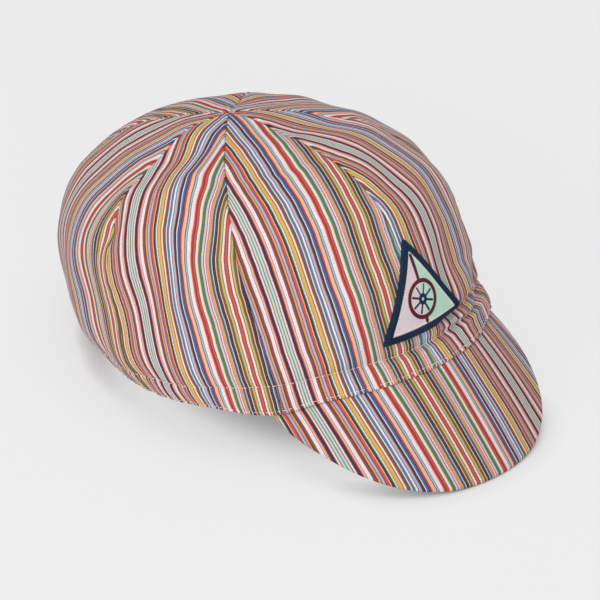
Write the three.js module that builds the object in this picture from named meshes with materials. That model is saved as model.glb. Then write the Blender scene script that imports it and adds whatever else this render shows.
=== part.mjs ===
// Soft six-panel cycling cap with a short turned-down peak and a sewn badge.
// Millimetres, Z up. The peak points along -Y and the wearer's right is -X.
// The cap rests on the back of its rim and on the front edge of its peak.
import * as THREE from 'three';

// Rim and crown
const RIM_LENGTH = 181;
const RIM_WIDTH = 157.4;
const CROWN_HEIGHT = 98.2;
const CROWN_SETBACK = 27.6; // how far the crown's top lies behind the rim's middle
const FRONT_ARCH = 7.5; // rise of the rim over the forehead
const CLOTH = 1.6; // wall of cloth with its turned seams
const SEAM_GAP = 0.3; // clearance between neighbouring pieces
const APEX_EYE = 1.5; // radius left open where the six seams meet

// Peak: a stiffened sheet of cloth sewn under the front of the rim
const PEAK_LENGTH = 51.3;
const PEAK_THICKNESS = 2.4;
const PEAK_TUCK = 1.0; // how far its root reaches in under the rim
const PEAK_ENDS = 1.06; // where its corners lie, as a share of the front seams' angle
const PEAK_SLOPE = 52; // degrees below the rim's plane at the middle
const PEAK_SIDE_SLOPE = 40; // the same at its two corners
const PEAK_BEND = 8; // degrees by which it turns further down to its edge
const PEAK_FAN = 13; // degrees by which its corners point outwards
const PEAK_ROUNDNESS = { inner: 2.46, outer: 0.68 }; // exponents of its outline

// Badge on the front seam
const BADGE_WIDTH = 48;
const BADGE_HEIGHT = 39;
const BADGE_LEAN = 3.7; // how far its top corner and its base lie off the front seam
const BADGE_BASE = 20.8; // height of its base above the rim's plane
const BADGE_THICKNESS = 1.4;

// Cloth that is pressed flat where the cap rests
const FLOOR_SETTLE = 0.8;

// How finely the skins are divided
const ROWS_UP_CROWN = 22;
const COLUMNS = { front: 11, side: 10, back: 15, peak: 34 };
const ROWS_OUT_PEAK = 8;
const BADGE_DIVISIONS = 13;

// Crown profile from the rim's edge to the top: height as a share of CROWN_HEIGHT, and the
// outline's reach as a share of the rim's, at the front, at the sides and at the back
const PROFILE = [
  { part: 'rim_edge', height: 0.0, front: 1.0, side: 1.0, back: 1.0 },
  { part: 'rim_fold', height: 0.1, front: 0.957, side: 1.05, back: 1.09 },
  { part: 'brow', height: 0.2, front: 0.972, side: 1.078, back: 1.148 },
  { part: 'lower_wall', height: 0.36, front: 0.992, side: 1.046, back: 1.169 },
  { part: 'upper_wall', height: 0.58, front: 0.974, side: 1.005, back: 1.063 },
  { part: 'shoulder', height: 0.77, front: 0.933, side: 0.848, back: 0.846 },
  { part: 'dome', height: 0.9, front: 0.705, side: 0.586, back: 0.546 },
  { part: 'crest', height: 0.975, front: 0.355, side: 0.314, back: 0.264 },
  { part: 'apex', height: 1.0, front: 0.0, side: 0.0, back: 0.0 },
];

// Seams round the rim, in degrees from the front towards the wearer's right
const SEAM_AT = { front: 0, front_side: 49.7, side_back: 94.3, back: 168 };

// How far a seam moves round the crown, in degrees, between two shares of the way up it. The
// slack cloth of the crown's back has slipped towards the wearer's right, and the back seam
// with it, from the rim up.
const STRAIGHT = { turn: 0, start: 0, end: 1 };
const BACK_SLIP = { turn: -18, start: 0.04, end: 0.6 };
const LEFT_SLIP = { turn: -32, start: 0.25, end: 0.88 };

const SEAMS = {
  back_from_left: { at: SEAM_AT.back - 360, slip: BACK_SLIP },
  side_back_left: { at: -SEAM_AT.side_back, slip: LEFT_SLIP },
  front_side_left: { at: -SEAM_AT.front_side, slip: STRAIGHT },
  front: { at: SEAM_AT.front, slip: STRAIGHT },
  front_side_right: { at: SEAM_AT.front_side, slip: STRAIGHT },
  side_back_right: { at: SEAM_AT.side_back, slip: STRAIGHT },
  back: { at: SEAM_AT.back, slip: BACK_SLIP },
};

// Six panels: which seams each lies between, and its number of columns
const PANELS = [
  { name: 'front_panel_right', from: 'front', to: 'front_side_right', columns: COLUMNS.front },
  { name: 'front_panel_left', from: 'front_side_left', to: 'front', columns: COLUMNS.front },
  { name: 'side_panel_right', from: 'front_side_right', to: 'side_back_right', columns: COLUMNS.side },
  { name: 'side_panel_left', from: 'side_back_left', to: 'front_side_left', columns: COLUMNS.side },
  { name: 'back_panel_right', from: 'side_back_right', to: 'back', columns: COLUMNS.back },
  { name: 'back_panel_left', from: 'back_from_left', to: 'side_back_left', columns: COLUMNS.back },
];

// Colours of the finishes
const FINISH = {
  striped_cotton: { color: 0xb58e84, roughness: 0.9, metalness: 0 },
  striped_peak: { color: 0xae8479, roughness: 0.9, metalness: 0 },
  badge_twill: { color: 0x17355a, roughness: 0.85, metalness: 0 },
};

const HALF_LENGTH = RIM_LENGTH / 2;
const HALF_WIDTH = RIM_WIDTH / 2;
const SMALL_STEP = 1e-3;
const PROFILE_BLEND = 1.5; // how quickly the front and back profiles give way to the side's
const ARCH_REACH = 0.5; // share of the height over which the front arch fades out
const radians = THREE.MathUtils.degToRad;

// Profile of the crown at an angle round the rim, as a curve of (reach share, height share)
function profileAt(angle) {
  const facing = Math.cos(angle);
  const front = Math.max(facing, 0) ** PROFILE_BLEND;
  const back = Math.max(-facing, 0) ** PROFILE_BLEND;
  const side = 1 - front - back;
  const points = PROFILE.map((row) => {
    const reach = row.front * front + row.side * side + row.back * back;
    return new THREE.Vector3(reach, row.height, 0);
  });
  return new THREE.CatmullRomCurve3(points, false, 'catmullrom', 0.5);
}

// Point of the crown's outer skin, with the rim's plane level. Angle 0 is the front, and
// share runs from the rim's edge at 0 to the apex at 1.
function crownPoint(angle, share) {
  const at = profileAt(angle).getPoint(share);
  const arch = Math.max(Math.cos(angle), 0) ** 2 * Math.max(1 - at.y / ARCH_REACH, 0) ** 2;
  return new THREE.Vector3(
    -HALF_WIDTH * Math.sin(angle) * at.x,
    -HALF_LENGTH * Math.cos(angle) * at.x + CROWN_SETBACK * at.y,
    CROWN_HEIGHT * at.y + FRONT_ARCH * arch,
  );
}

// Outward normal of any skin given as a function of two numbers
function normalOf(skin, u, v) {
  const alongU = skin(u + SMALL_STEP, v).sub(skin(u - SMALL_STEP, v));
  const low = Math.max(v - SMALL_STEP, 0);
  const high = Math.min(v + SMALL_STEP, 1);
  const alongV = skin(u, high).sub(skin(u, low));
  return alongV.cross(alongU).normalize();
}

// Inner skin of the crown: square to the cloth, and level at the rim's edge, where it is cut
function crownInner(angle, share) {
  const inward = normalOf(crownPoint, angle, share).negate();
  const levelling = Math.max(1 - share * (PROFILE.length - 1), 0);
  inward.z *= 1 - levelling;
  inward.normalize();
  return crownPoint(angle, share).addScaledVector(inward, CLOTH);
}

// Distance of the crown's skin from the line through its apex
function reachAt(angle, share) {
  const point = crownPoint(angle, share);
  const height = profileAt(angle).getPoint(share).y;
  return Math.hypot(point.x, point.y - CROWN_SETBACK * height);
}

// Share at which the skin comes within a radius of the apex, found by halving
function shareAtReach(angle, radius) {
  let low = 0.5;
  let high = 1;
  for (let step = 0; step < 24; step += 1) {
    const middle = (low + high) / 2;
    if (reachAt(angle, middle) > radius) low = middle;
    else high = middle;
  }
  return low;
}

// Where the cap comes to rest: turned until peak and back rim are level, then set down
const peakTip = peakSkins(0, 1).under;
const REST_TILT = Math.atan2(-peakTip.z, HALF_LENGTH - peakTip.y);
const REST_LEVEL = HALF_LENGTH * Math.sin(-REST_TILT);
function settle(point) {
  const turned = point.clone().applyAxisAngle(new THREE.Vector3(1, 0, 0), -REST_TILT);
  turned.z = Math.max(turned.z - REST_LEVEL - FLOOR_SETTLE, 0);
  return turned;
}

// Both skins of the peak. Across runs from -1 at the left corner to 1 at the right, and
// outward from 0 under the rim to 1 at the peak's edge.
function peakTop(across, outward) {
  const angle = across * PEAK_ENDS * radians(SEAM_AT.front_side);
  const root = crownPoint(angle, 0);
  const inward = new THREE.Vector3(-root.x, -root.y, 0).normalize();
  root.addScaledVector(inward, PEAK_TUCK);
  root.z -= SEAM_GAP;
  const outline = Math.max(1 - Math.abs(across) ** PEAK_ROUNDNESS.inner, 0);
  const length = PEAK_TUCK * 1.5 + PEAK_LENGTH * outline ** PEAK_ROUNDNESS.outer;
  const slope = PEAK_SLOPE + (PEAK_SIDE_SLOPE - PEAK_SLOPE) * across ** 2;
  const bend = radians(PEAK_BEND);
  const start = radians(slope) - bend / 2;
  const forward = (length / bend) * (Math.sin(start + bend * outward) - Math.sin(start));
  const drop = (length / bend) * (Math.cos(start) - Math.cos(start + bend * outward));
  const fan = radians(PEAK_FAN) * across;
  return new THREE.Vector3(
    root.x - forward * Math.sin(fan),
    root.y - forward * Math.cos(fan),
    root.z - drop,
  );
}

function peakSkins(across, outward) {
  const limit = 1 - SMALL_STEP;
  const steady = THREE.MathUtils.clamp(across, -limit, limit);
  const normal = normalOf(peakTop, steady, outward);
  const top = peakTop(across, outward);
  if (normal.z < 0) normal.negate();
  const under = top.clone().addScaledVector(normal, -PEAK_THICKNESS);
  return { top, under };
}

// Skin point at the front of the crown, from its distance across and its height
function crownFrontAt(x, height) {
  let angle = 0;
  let share = 0;
  for (let round = 0; round < 8; round += 1) {
    let low = 0;
    let high = 1;
    for (let step = 0; step < 20; step += 1) {
      share = (low + high) / 2;
      if (crownPoint(angle, share).z < height) low = share;
      else high = share;
    }
    const reach = HALF_WIDTH * profileAt(angle).getPoint(share).x;
    angle = Math.asin(THREE.MathUtils.clamp(-x / reach, -1, 1));
  }
  return { angle, share };
}

// Closed solid between two matching skins: the outer faces, the same faces turned over on
// the inner skin, and a wall along each open edge
function slab(outer, inner, faces) {
  const index = [];
  const openEdges = new Map();
  const count = outer.length;
  for (const [a, b, c] of faces) {
    index.push(a, b, c, count + c, count + b, count + a);
    for (const [from, to] of [[a, b], [b, c], [c, a]]) {
      if (!openEdges.delete(`${to} ${from}`)) openEdges.set(`${from} ${to}`, [from, to]);
    }
  }
  for (const [from, to] of openEdges.values()) {
    index.push(to, from, count + from, to, count + from, count + to);
  }
  const geometry = new THREE.BufferGeometry();
  geometry.setFromPoints([...outer, ...inner].map(settle));
  geometry.setIndex(index);
  geometry.computeVertexNormals();
  return geometry;
}

// Faces of a grid whose columns run clockwise, seen from outside, and whose rows run up
function gridFaces(rows, columns) {
  const faces = [];
  for (let row = 0; row + 1 < rows; row += 1) {
    for (let column = 0; column + 1 < columns; column += 1) {
      const corner = row * columns + column;
      faces.push([corner, corner + columns, corner + 1]);
      faces.push([corner + 1, corner + columns, corner + columns + 1]);
    }
  }
  return faces;
}

// Angle of a seam at a share of the way up the crown
function seamAngle(seam, share) {
  const { turn, start, end } = seam.slip;
  return radians(seam.at + turn * THREE.MathUtils.smoothstep(share, start, end));
}

// One crown panel between two seams. Its sides keep half the gap to each seam line.
function panelGeometry(panel) {
  const from = SEAMS[panel.from];
  const to = SEAMS[panel.to];
  const between = (across, share) => THREE.MathUtils.lerp(
    seamAngle(from, share), seamAngle(to, share), across,
  );
  const outer = [];
  const inner = [];
  for (let row = 0; row < ROWS_UP_CROWN; row += 1) {
    for (let column = 0; column < panel.columns; column += 1) {
      const across = column / (panel.columns - 1);
      const top = shareAtReach(between(across, 1), APEX_EYE);
      const share = (row / (ROWS_UP_CROWN - 1)) * top;
      const plain = between(across, share);
      const margin = SEAM_GAP / 2 / reachAt(plain, share);
      const angle = plain + margin * (1 - 2 * across);
      outer.push(crownPoint(angle, share));
      inner.push(crownInner(angle, share));
    }
  }
  return slab(outer, inner, gridFaces(ROWS_UP_CROWN, panel.columns));
}

function peakGeometry() {
  const top = [];
  const under = [];
  for (let row = 0; row < ROWS_OUT_PEAK; row += 1) {
    for (let column = 0; column < COLUMNS.peak; column += 1) {
      const spread = (2 * column) / (COLUMNS.peak - 1) - 1;
      const across = -Math.sin((spread * Math.PI) / 2);
      const skins = peakSkins(across, row / (ROWS_OUT_PEAK - 1));
      top.push(skins.top);
      under.push(skins.under);
    }
  }
  return slab(top, under, gridFaces(ROWS_OUT_PEAK, COLUMNS.peak));
}

// Three-cornered badge laid on the crown, its corners cut off short
function badgeGeometry() {
  const corners = [
    new THREE.Vector2(BADGE_LEAN - BADGE_WIDTH / 2, BADGE_BASE),
    new THREE.Vector2(BADGE_LEAN + BADGE_WIDTH / 2, BADGE_BASE),
    new THREE.Vector2(BADGE_LEAN, BADGE_BASE + BADGE_HEIGHT),
  ];
  const outer = [];
  const inner = [];
  const numberOf = (row, column) => (row * (2 * BADGE_DIVISIONS + 3 - row)) / 2 + column;
  for (let row = 0; row <= BADGE_DIVISIONS; row += 1) {
    for (let column = 0; column <= BADGE_DIVISIONS - row; column += 1) {
      const place = corners[0].clone()
        .addScaledVector(corners[1].clone().sub(corners[0]), column / BADGE_DIVISIONS)
        .addScaledVector(corners[2].clone().sub(corners[0]), row / BADGE_DIVISIONS);
      const { angle, share } = crownFrontAt(place.x, place.y);
      const normal = normalOf(crownPoint, angle, share);
      const skin = crownPoint(angle, share);
      inner.push(skin.clone().addScaledVector(normal, SEAM_GAP));
      outer.push(skin.clone().addScaledVector(normal, SEAM_GAP + BADGE_THICKNESS));
    }
  }
  const faces = [];
  for (let row = 0; row < BADGE_DIVISIONS; row += 1) {
    for (let column = 0; column < BADGE_DIVISIONS - row; column += 1) {
      const isCorner = [0, BADGE_DIVISIONS - 1].includes(column)
        && [0, BADGE_DIVISIONS - 1].includes(row);
      if (!isCorner) {
        faces.push([numberOf(row, column), numberOf(row, column + 1), numberOf(row + 1, column)]);
      }
      if (column + 1 < BADGE_DIVISIONS - row) {
        faces.push([
          numberOf(row, column + 1), numberOf(row + 1, column + 1), numberOf(row + 1, column),
        ]);
      }
    }
  }
  return slab(outer, inner, faces);
}

function piece(name, geometry, finish) {
  const mesh = new THREE.Mesh(geometry, new THREE.MeshStandardMaterial(finish));
  mesh.name = name;
  return mesh;
}

const cap = new THREE.Group();
for (const panel of PANELS) {
  cap.add(piece(panel.name, panelGeometry(panel), FINISH.striped_cotton));
}
cap.add(piece('peak', peakGeometry(), FINISH.striped_peak));
cap.add(piece('badge', badgeGeometry(), FINISH.badge_twill));

// The origin is the middle of the cap's footprint, on the surface that it rests on
const extent = new THREE.Box3().setFromObject(cap);
cap.position.y = -(extent.min.y + extent.max.y) / 2;
cap.updateMatrixWorld(true);

export default cap;
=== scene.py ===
"""Looks of a soft six-panel cycling cap with a short turned-down peak and a sewn badge.

Lengths are in metres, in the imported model's frame: the peak points along -Y, the wearer's right
is -X, and the cap rests on the back of its rim and on the front edge of its peak. Coordinates on
the cloth, which the finishes read, are in millimetres.
"""
import logging
import math
from dataclasses import dataclass, field
from enum import Enum
from typing import Sequence, Union

import bpy
import numpy as np
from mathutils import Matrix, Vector


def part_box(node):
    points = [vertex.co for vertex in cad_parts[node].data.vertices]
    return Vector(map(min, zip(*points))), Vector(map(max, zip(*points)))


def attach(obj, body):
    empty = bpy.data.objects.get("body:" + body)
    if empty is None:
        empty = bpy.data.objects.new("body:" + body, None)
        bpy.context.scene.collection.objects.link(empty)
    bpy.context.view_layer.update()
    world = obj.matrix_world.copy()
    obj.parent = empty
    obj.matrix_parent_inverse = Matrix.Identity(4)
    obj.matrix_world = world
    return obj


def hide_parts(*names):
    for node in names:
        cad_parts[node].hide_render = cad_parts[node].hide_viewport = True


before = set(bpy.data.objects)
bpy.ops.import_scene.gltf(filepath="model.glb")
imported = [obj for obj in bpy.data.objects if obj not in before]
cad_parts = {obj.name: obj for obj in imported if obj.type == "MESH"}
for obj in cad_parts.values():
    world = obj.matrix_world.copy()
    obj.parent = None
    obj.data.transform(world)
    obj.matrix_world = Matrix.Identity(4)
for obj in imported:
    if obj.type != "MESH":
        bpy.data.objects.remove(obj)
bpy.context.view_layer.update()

MM = 0.001
TURN = 2 * math.pi
STEP = 1e-3
UP = np.array([0, 0, 1])
Array = np.ndarray
Line = tuple[Array, Array, Array, Array]
log = logging.getLogger("cap")


class Slot(Enum):
    """The record's material slots."""

    CROWN = "crown_cloth"
    PEAK = "peak_cloth"
    BADGE = "badge_cloth"
    THREAD = "thread"


class Held(Enum):
    """How a sheet of cloth is held."""

    GATHERED = "gathered"
    STRETCHED = "stretched"
    LAID = "laid"


class Coordinate(Enum):
    """Numbers that the finishes read from a piece's points."""

    ACROSS = "cloth_across"
    ALONG = "cloth_along"
    WRONG_SIDE = "wrong_side"


class Tint(Enum):
    """Yarn colours, as display red, green and blue from 0 to 255."""

    OFF_WHITE = (230, 225, 230)
    LILAC = (208, 194, 202)
    PEACH = (236, 180, 144)
    APRICOT = (224, 150, 92)
    MUSTARD = (216, 174, 70)
    FLAME = (222, 78, 52)
    CRIMSON = (196, 58, 66)
    MAGENTA = (172, 56, 112)
    SKY = (150, 192, 214)
    TEAL = (18, 132, 164)
    BLUE = (24, 116, 168)
    MINT = (180, 210, 194)
    GREEN = (52, 130, 96)
    FOREST = (58, 96, 64)
    BROWN = (114, 82, 70)
    GREY = (142, 134, 136)
    CHARCOAL = (60, 52, 58)
    PLUM = (60, 46, 80)
    NAVY = (2, 40, 72)
    MAROON = (98, 18, 36)
    PALE_PINK = (226, 208, 214)
    PALE_MINT = (186, 224, 206)
    IVORY = (240, 232, 220)
    FLOOR = (236, 236, 236)

    @property
    def linear(self) -> tuple[float, float, float, float]:
        """The colour as the finishes take it.

        Returns:
            Red, green and blue in the scene's linear units, and alpha.
        """
        shares = [part / 255 for part in self.value]
        lit = [((s + 0.055) / 1.055) ** 2.4 if s > 0.04045 else s / 12.92 for s in shares]
        return (*lit, 1.0)


@dataclass(frozen=True)
class Section:
    """One height of the crown's profile, in shares of its height and of the rim's outline."""

    height: float
    front: float
    side: float
    back: float


PROFILE = (
    Section(0.0, 1.0, 1.0, 1.0),
    Section(0.1, 0.957, 1.05, 1.09),
    Section(0.2, 0.972, 1.078, 1.148),
    Section(0.36, 0.992, 1.046, 1.169),
    Section(0.58, 0.974, 1.005, 1.063),
    Section(0.77, 0.933, 0.848, 0.846),
    Section(0.9, 0.705, 0.586, 0.546),
    Section(0.975, 0.355, 0.314, 0.264),
    Section(1.0, 0.0, 0.0, 0.0),
)


def lengths_along(line: Array) -> Array:
    """Returns the length of a line of points up to each of them."""
    steps = np.linalg.norm(np.diff(line, axis=0), axis=1)
    return np.concatenate([[0], np.cumsum(steps)])


def unit(vectors: Array) -> Array:
    """Returns the vectors at length 1."""
    return vectors / np.linalg.norm(vectors, axis=-1, keepdims=True)


def bell(distance: Array, width: float) -> Array:
    """Returns 1 at no distance, falling off smoothly over the width on both sides."""
    return np.exp(-((distance / width) ** 2))


def eased(value: Array, low: float, high: float) -> Array:
    """Returns a smooth step from 0 below the low value to 1 above the high one."""
    part = np.clip((value - low) / (high - low), 0, 1)
    return part**2 * (3 - 2 * part)


def circle(angles: Array) -> Array:
    """Returns the points of the unit circle at some angles."""
    return np.stack([np.cos(angles), np.sin(angles)], -1)


def signed_degrees(angle: Array) -> Array:
    """Returns angles in degrees, from -180 to 180."""
    return np.degrees((angle + math.pi) % TURN - math.pi)


@dataclass(frozen=True)
class Seam:
    """One of the crown's seams: its angle at the rim, and how far it slips round going up."""

    angle: float
    turn: float = 0.0
    start: float = 0.0
    end: float = 1.0

    def at(self, share: Array) -> Array:
        """Returns the seam's angle in radians at each share up the crown."""
        return np.radians(self.angle + self.turn * eased(share, self.start, self.end))


SEAMS = (
    Seam(-192, -18, 0.04, 0.6), Seam(-94.3, -32, 0.25, 0.88), Seam(-49.7), Seam(0),
    Seam(49.7), Seam(94.3), Seam(168, -18, 0.04, 0.6),
)


@dataclass(frozen=True)
class CrownShape:
    """The crown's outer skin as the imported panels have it, with the rim's plane level.

    Angles run from the front towards the wearer's right, and shares from the rim's edge at 0
    to the apex at 1.
    """

    rim_length: float = 0.181
    rim_width: float = 0.1574
    height: float = 0.0982
    setback: float = 0.0276
    front_arch: float = 0.0075
    arch_reach: float = 0.5
    profile_blend: float = 1.5
    tension: float = 0.5
    finely: int = 801
    front_rounds: int = 8
    front_halvings: int = 20

    def column(self, name: str, share: Array) -> Array:
        """Reads one column of the profile along its smooth curve.

        Args:
            name: the column of the profile's table.
            share: places along the curve, from 0 to 1.
        Returns:
            The column's value at each place.
        """
        values = np.array([getattr(section, name) for section in PROFILE])
        before = 2 * values[0] - values[1]
        after = 2 * values[-1] - values[-2]
        padded = np.concatenate([[before], values, [after]])
        place = np.clip(share, 0, 1) * (len(values) - 1)
        row = np.minimum(place.astype(int), len(values) - 2)
        part = place - row
        p0, p1, p2, p3 = (padded[row + k] for k in range(4))
        t1 = self.tension * (p2 - p0)
        t2 = self.tension * (p3 - p1)
        square = (3 * (p2 - p1) - 2 * t1 - t2) * part**2
        cube = (2 * (p1 - p2) + t1 + t2) * part**3
        return p1 + t1 * part + square + cube

    def reach_share(self, angle: Array, share: Array) -> Array:
        """Works out how far out the skin lies.

        Args:
            angle: angles round the crown.
            share: the share up the crown at each angle.
        Returns:
            The outline's reach as a share of the rim's.
        """
        facing = np.cos(angle)
        front = np.maximum(facing, 0) ** self.profile_blend
        back = np.maximum(-facing, 0) ** self.profile_blend
        reach = front * self.column("front", share) + back * self.column("back", share)
        return reach + (1 - front - back) * self.column("side", share)

    def point(self, angle: Array, share: Array) -> Array:
        """Works out places on the skin.

        Args:
            angle: angles round the crown.
            share: the share up the crown at each angle.
        Returns:
            The points.
        """
        facing = np.cos(angle)
        reach = self.reach_share(angle, share)
        height = self.column("height", share)
        fading = np.maximum(1 - height / self.arch_reach, 0) ** 2
        arch = np.maximum(facing, 0) ** 2 * fading
        x = -self.rim_width / 2 * np.sin(angle) * reach
        y = -self.rim_length / 2 * facing * reach + self.setback * height
        return np.stack([x, y, self.height * height + self.front_arch * arch], -1)

    def normal(self, angle: Array, share: Array) -> Array:
        """Works out which way the skin faces.

        Args:
            angle: angles round the crown.
            share: the share up the crown at each angle.
        Returns:
            The outward unit normals.
        """
        turned = self.point(angle + STEP, share) - self.point(angle - STEP, share)
        low = np.maximum(share - STEP, 0)
        high = np.minimum(share + STEP, 1)
        return unit(np.cross(self.point(angle, high) - self.point(angle, low), turned))

    def ring(self, distance: float, angles: Array) -> Array:
        """Finds a line round the crown at one length of cloth above the rim's edge.

        Args:
            distance: the length of cloth.
            angles: angles round the crown.
        Returns:
            The share up the crown at each angle.
        """
        shares = np.linspace(0, 1, self.finely)
        found = []
        for angle in angles:
            line = self.point(np.full(self.finely, angle), shares)
            found.append(np.interp(distance, lengths_along(line), shares))
        return np.array(found)

    def front_at(self, x: Array, height: Array) -> tuple[Array, Array]:
        """Finds the front skin's point at a distance across and a height.

        Args:
            x: distances towards the wearer's left.
            height: heights above the rim's plane.
        Returns:
            The angle and the share of each point.
        """
        angle = np.zeros_like(x)
        share = np.zeros_like(x)
        for _ in range(self.front_rounds):
            low = np.zeros_like(x)
            high = np.ones_like(x)
            for _ in range(self.front_halvings):
                share = (low + high) / 2
                below = self.point(angle, share)[..., 2] < height
                low = np.where(below, share, low)
                high = np.where(below, high, share)
            reach = self.rim_width / 2 * self.reach_share(angle, share)
            angle = np.arcsin(np.clip(-x / reach, -1, 1))
        return angle, share


@dataclass(frozen=True)
class PeakShape:
    """The peak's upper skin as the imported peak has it, before the cap is set down."""

    crown: CrownShape = CrownShape()
    length: float = 0.0513
    thickness: float = 0.0024
    tuck: float = 0.001
    seam_gap: float = 0.0003
    corner_angle: float = math.radians(1.06 * 49.7)
    slope: float = math.radians(52)
    side_slope: float = math.radians(40)
    bend: float = math.radians(8)
    fan: float = math.radians(13)
    roundness: tuple[float, float] = (2.46, 0.68)
    root_share: float = 1.5
    corner_share: float = 0.15
    edge_hold: float = 0.8

    def reach(self, across: Array) -> Array:
        """Works out how long the peak is.

        Args:
            across: from -1 at the left corner to 1 at the right.
        Returns:
            The cloth's length from the root to the edge.
        """
        inner, outer = self.roundness
        outline = np.maximum(1 - np.abs(across) ** inner, 0)
        return self.tuck * self.root_share + self.length * outline**outer

    def top(self, across: Array, outward: Array) -> Array:
        """Returns the upper skin's points.

        Args:
            across: from -1 at the left corner to 1 at the right.
            outward: from 0 under the rim to 1 at the peak's edge.
        Returns:
            The points, with the rim's plane level.
        """
        root = self.crown.point(across * self.corner_angle, np.zeros_like(across))
        flat = root * [1, 1, 0]
        root = root - self.tuck * unit(flat)
        slope = self.slope + (self.side_slope - self.slope) * across**2
        start = slope - self.bend / 2
        turned = start + self.bend * outward
        radius = self.reach(across) / self.bend
        forward = radius * (np.sin(turned) - np.sin(start))
        drop = radius * (np.cos(start) - np.cos(turned))
        fan = self.fan * across
        step = np.stack([-forward * np.sin(fan), -forward * np.cos(fan), -drop], -1)
        sag = rim_sag(across * self.corner_angle)
        from_corner = np.clip((1 - np.abs(across)) / self.corner_share, 0, 1)
        held = np.where(sag > 0, self.edge_hold * outward * from_corner, 0)
        lower = self.seam_gap + sag * (1 - held)
        return root + step - lower[..., None] * UP

    def normal(self, across: Array, outward: Array) -> Array:
        """Works out which way the upper skin faces.

        Args:
            across: from -1 at the left corner to 1 at the right.
            outward: from 0 under the rim to 1 at the peak's edge.
        Returns:
            The upward unit normals.
        """
        steady = np.clip(across, STEP - 1, 1 - STEP)
        beside = self.top(steady + STEP, outward) - self.top(steady - STEP, outward)
        low = np.maximum(outward - STEP, 0)
        high = np.minimum(outward + STEP, 1)
        out = np.cross(beside, self.top(steady, high) - self.top(steady, low))
        return unit(out * np.where(out[..., 2:] < 0, -1, 1))


@dataclass(frozen=True)
class Resting:
    """Turns the level cap onto the surface that it rests on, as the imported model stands."""

    tilt: float
    level: float
    shift: float
    settled: float = 0.0008

    @classmethod
    def of(cls, crown: CrownShape, peak: PeakShape) -> "Resting":
        """Works the pose out from the cap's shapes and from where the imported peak's tip is.

        Args:
            crown: the crown's shape.
            peak: the peak's shape.
        Returns:
            The pose.
        """
        middle, edge = np.zeros(1), np.ones(1)
        tip = peak.top(middle, edge) - peak.normal(middle, edge) * peak.thickness
        half = crown.rim_length / 2
        tilt = math.atan2(-tip[0, 2], half - tip[0, 1])
        unshifted = cls(tilt, -half * math.sin(tilt), 0.0)
        foremost = unshifted.place(peak.top(middle, edge))[0, 1]
        return cls(tilt, unshifted.level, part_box("peak")[0].y - foremost)

    def place(self, points: Array) -> Array:
        """Sets points of the level cap down.

        Args:
            points: the points.
        Returns:
            Where they lie at rest.
        """
        x, y, z = points[..., 0], points[..., 1], points[..., 2]
        forth = y * math.cos(self.tilt) + z * math.sin(self.tilt) + self.shift
        up = z * math.cos(self.tilt) - y * math.sin(self.tilt) - self.level - self.settled
        return np.stack([x, forth, np.maximum(up, 0)], -1)


@dataclass(frozen=True)
class Fold:
    """A soft ridge or hollow that runs over the crown between two places.

    A place is an angle in degrees and a share up the crown. A positive rise is a ridge.
    """

    name: str
    start: tuple[float, float]
    end: tuple[float, float]
    width: float
    rise: float


FOLDS = (
    Fold("badge_side_crease", (-8, 0.225), (-44, 0.222), 0.0024, -0.0042),
    Fold("brow_roll", (-10, 0.17), (-38, 0.16), 0.0034, 0.003),
    Fold("temple_swell", (-12, 0.3), (-30, 0.31), 0.006, 0.0007),
    Fold("far_temple_hollow", (-36, 0.26), (-58, 0.27), 0.007, -0.0026),
    Fold("far_hem_flare", (-40, 0.03), (-58, 0.03), 0.0075, 0.0019),
    Fold("temple_crease", (-24, 0.385), (-42, 0.345), 0.003, -0.0007),
    Fold("badge_foot_swell", (18, 0.16), (-8, 0.17), 0.0045, 0.0007),
    Fold("side_seam_pucker", (91, 0.6), (99, 0.52), 0.0042, -0.0019),
    Fold("side_seam_swell", (86, 0.68), (99, 0.65), 0.0065, 0.0012),
    Fold("side_dent", (66, 0.65), (50, 0.6), 0.0068, -0.0024),
    Fold("side_swell", (67, 0.55), (50, 0.5), 0.0075, 0.0016),
    Fold("shoulder_ridge", (74, 0.7), (53, 0.79), 0.006, 0.0016),
    Fold("shoulder_hollow", (88, 0.78), (62, 0.85), 0.0075, -0.0015),
    Fold("back_shoulder", (120, 0.72), (150, 0.75), 0.009, 0.0008),
    Fold("back_hollow", (-150, 0.62), (-118, 0.66), 0.011, -0.0011),
    Fold("left_dent", (-70, 0.62), (-88, 0.57), 0.009, -0.0013),
    Fold("left_swell", (-66, 0.52), (-92, 0.48), 0.009, 0.0009),
    Fold("nape_roll", (160, 0.22), (-158, 0.24), 0.009, 0.0009),
    Fold("front_seam_ripple", (-8, 0.62), (5, 0.66), 0.005, -0.0006),
    Fold("back_fullness", (163, 0.67), (-162, 0.76), 0.02, 0.0019),
    Fold("crown_slack", (-132, 0.9), (-86, 0.83), 0.016, -0.0032),
    Fold("left_brow_slack", (-68, 0.71), (-44, 0.64), 0.013, -0.0014),
)


@dataclass(frozen=True)
class Sag:
    """A stretch of the rim that hangs lower than its plain shape, or higher where negative."""

    angle: float
    spread: float
    drop: float


SAGS = (Sag(50, 8, 0.0022), Sag(59, 9, 0.002), Sag(-48, 15, -0.0018))


def rim_sag(angle: Array) -> Array:
    """Returns how much lower the rim hangs at each angle."""
    degrees = signed_degrees(angle)
    return sum(sag.drop * bell(degrees - sag.angle, sag.spread) for sag in SAGS)


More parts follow.
